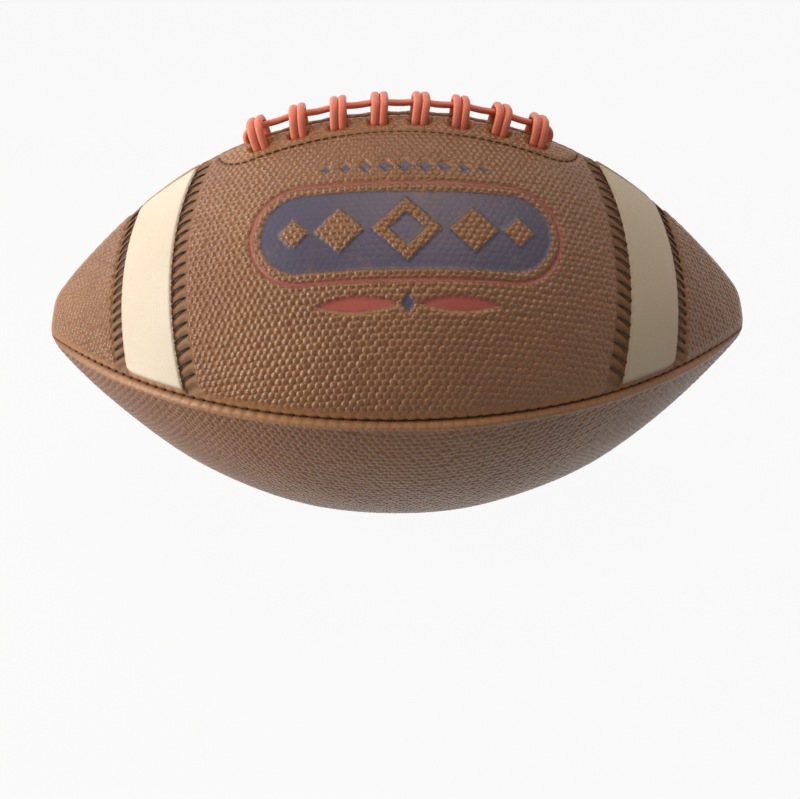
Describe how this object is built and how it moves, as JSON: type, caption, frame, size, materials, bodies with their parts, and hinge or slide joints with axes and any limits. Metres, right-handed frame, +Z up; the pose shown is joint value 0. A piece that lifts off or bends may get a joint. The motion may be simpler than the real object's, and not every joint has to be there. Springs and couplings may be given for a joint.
{
  "type": "laced american football",
  "caption": "Pebbled leather oval ball with sewn stripes near both ends, lacing along the top seam, and a lining, bladder and inflation valve inside.",
  "frame": {"origin": "under the middle of the bottom seam, at the lowest point of the ball lying with its laces up", "axes": "+X along the ball from nose to nose, +Z up through the laces, -Y towards the panel pair named front"},
  "size_m": [0.28, 0.1698, 0.1769],
  "materials": {
    "leather": "pebbled brown leather, satin",
    "lining": "woven cotton lining, matt",
    "stripe": "smooth off-white coated leather, satin",
    "thread": "waxed dark brown thread",
    "lace": "smooth coral red vinyl, satin gloss",
    "backing": "plain split leather, matt",
    "guard": "plain split leather, matt",
    "bladder": "butyl rubber, matt",
    "valve": "moulded rubber, satin"
  },
  "bodies": {
    "root": {"panel_front_upper": "leather", "panel_back_upper": "leather", "panel_front_lower": "leather", "panel_back_lower": "leather", "lining_front_upper": "lining", "lining_back_upper": "lining", "lining_front_lower": "lining", "lining_back_lower": "lining", "stripe_front_left": "stripe", "stripe_front_right": "stripe", "stripe_back_left": "stripe", "stripe_back_right": "stripe", "stripe_stitches_front_left": "thread", "stripe_stitches_front_right": "thread", "stripe_stitches_back_left": "thread", "stripe_stitches_back_right": "thread", "seam_thread_top": "thread", "seam_thread_front": "thread", "seam_thread_back": "thread", "seam_thread_bottom": "thread", "lace": "lace", "lace_backing_front": "backing", "lace_backing_back": "backing", "lace_guard": "guard", "lacing_outline_front": "thread", "lacing_outline_back": "thread", "bladder": "bladder", "valve_patch": "bladder", "valve_stem": "valve", "valve_plug": "valve"}
  },
  "joints": []
}
